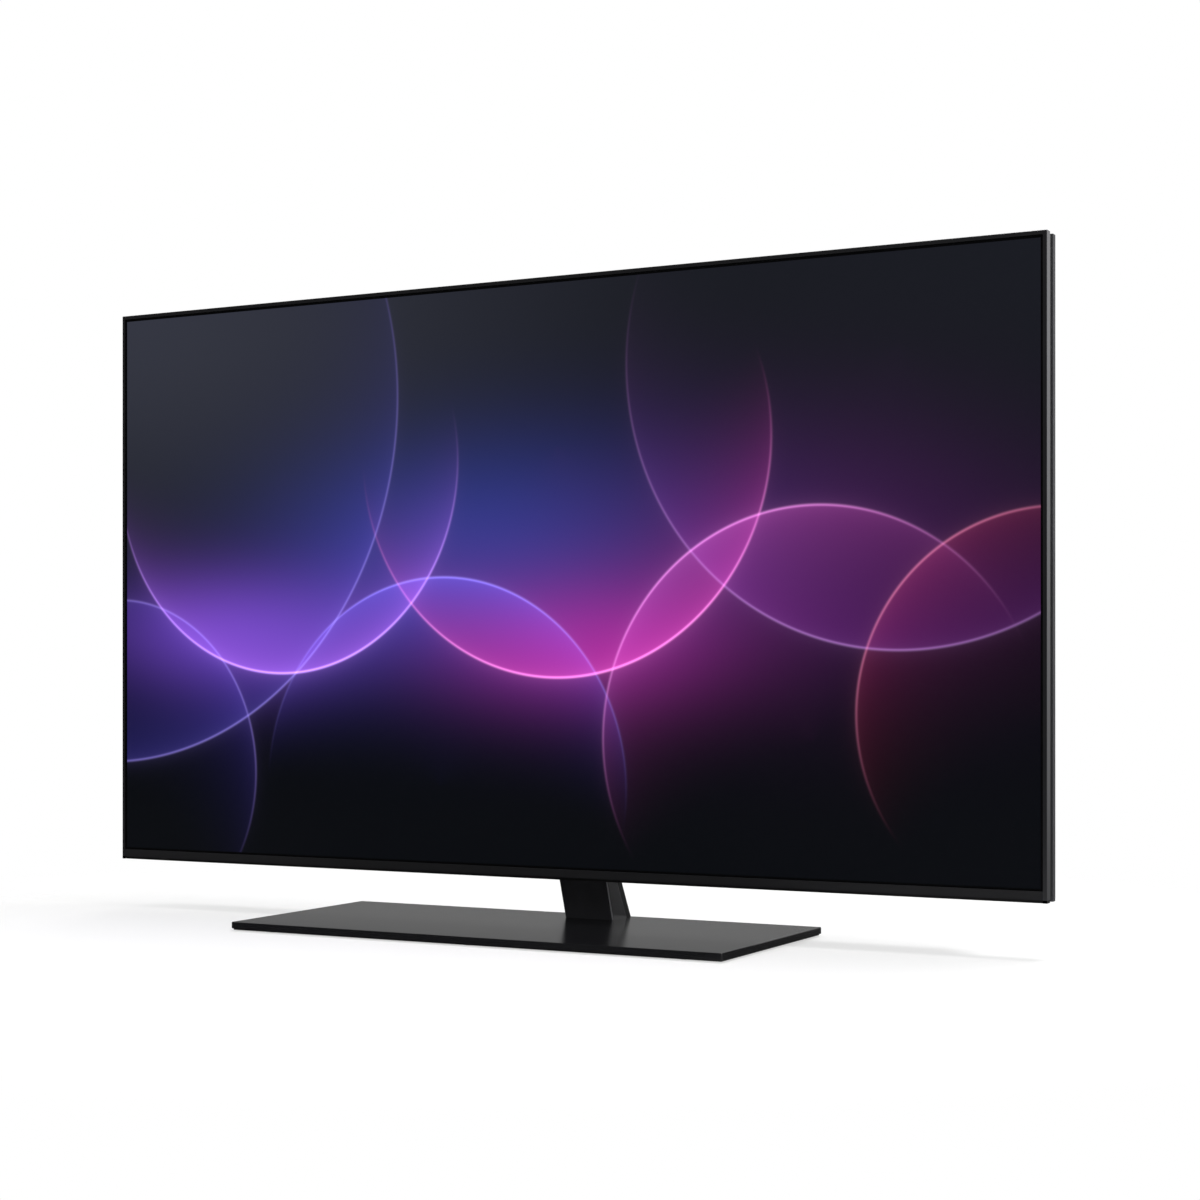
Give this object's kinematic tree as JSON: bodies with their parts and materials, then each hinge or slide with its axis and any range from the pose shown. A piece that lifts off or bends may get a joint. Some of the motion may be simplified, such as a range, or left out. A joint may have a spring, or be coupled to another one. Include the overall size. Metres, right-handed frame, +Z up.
{
  "type": "flat screen television",
  "caption": "Slim flat screen television with a thin metal frame, a tapered rear housing and a raked neck, right of the middle, on a flat slab base.",
  "frame": {"origin": "middle of the stand's base, on the surface it stands on", "axes": "+X to the right seen from the front, along the longest side; +Y to the rear; +Z up"},
  "size_m": [1.2236, 0.276, 0.7644],
  "materials": {
    "frame_metal": "satin anodised, dark",
    "trim_plastic": "satin",
    "screen": "glossy, lit from behind, emissive",
    "window": "smoked gloss",
    "film": "clear prism film",
    "diffuser": "milky",
    "mid_plastic": "matte",
    "reflector": "matte white",
    "bar_board": "white solder mask",
    "lens": "clear",
    "steel": "galvanised",
    "board_green": "solder mask",
    "chip": "matte",
    "component": "moulded",
    "winding": "wound copper and ferrite",
    "sink": "bare",
    "socket_metal": "plated",
    "ribbon": "polyimide film",
    "cable": "matte",
    "cover_plastic": "fine texture",
    "neck_gloss": "gloss",
    "base_coat": "satin, fine brushed look",
    "base_steel": "zinc plated",
    "rubber_foot": "matte",
    "cone": "matte",
    "screw": "black zinc"
  },
  "bodies": {
    "television": {"frame_top": "frame_metal", "frame_left": "frame_metal", "frame_right": "frame_metal", "bottom_trim": "trim_plastic", "corner_brackets": "steel", "lcd_cell": "screen", "prism_sheets": "film", "diffuser_plate": "diffuser", "mid_frame": "mid_plastic", "reflector_sheet": "reflector", "led_bars": "bar_board", "led_lenses": "lens", "back_chassis": "steel", "source_boards": "board_green", "panel_ribbons": "ribbon", "sensor_window": "window", "sensor_board": "board_green", "mount_rails": "steel", "vesa_nuts": "steel", "stand_bracket": "steel", "neck_screws": "screw", "base_feet": "rubber_foot", "base_screws": "screw", "neck_core": "base_steel", "base_shell": "base_coat", "base_plate": "base_steel", "base_bottom_cover": "trim_plastic", "neck_front_cover": "neck_gloss", "neck_rear_cover": "neck_gloss", "cover_screws": "screw", "main_board": "board_green", "main_chips": "chip", "main_heat_sink": "sink", "hdmi_sockets": "socket_metal", "usb_sockets": "socket_metal", "lan_socket": "socket_metal", "headphone_socket": "component", "antenna_socket": "socket_metal", "power_board": "board_green", "power_transformers": "winding", "power_capacitors": "component", "power_heat_sinks": "sink", "mains_inlet": "component", "timing_board": "board_green", "timing_ribbons": "ribbon", "board_standoffs": "steel", "board_screws": "screw", "radio_module": "board_green", "speaker_box_left": "component", "speaker_box_right": "component", "speaker_driver_left": "socket_metal", "speaker_driver_right": "socket_metal", "speaker_leads": "cable", "board_leads": "cable", "rear_cover": "cover_plastic"},
    "power_key": {"power_key": "cover_plastic"},
    "cone_left": {"speaker_cone_left": "cone"},
    "cone_right": {"speaker_cone_right": "cone"}
  },
  "joints": [
    {"name": "key_press", "type": "slide", "parent": "television", "child": "power_key", "axis": [0, 0, 1], "range_m": [0, 0.0007], "stiffness_N_per_m": 800, "springref_m": -0.0005},
    {"name": "cone_left_travel", "type": "slide", "parent": "television", "child": "cone_left", "axis": [0, 0, 1], "range_m": [-0.001, 0.001], "stiffness_N_per_m": 1500},
    {"name": "cone_right_travel", "type": "slide", "parent": "television", "child": "cone_right", "axis": [0, 0, 1], "range_m": [-0.001, 0.001], "stiffness_N_per_m": 1500}
  ]
}
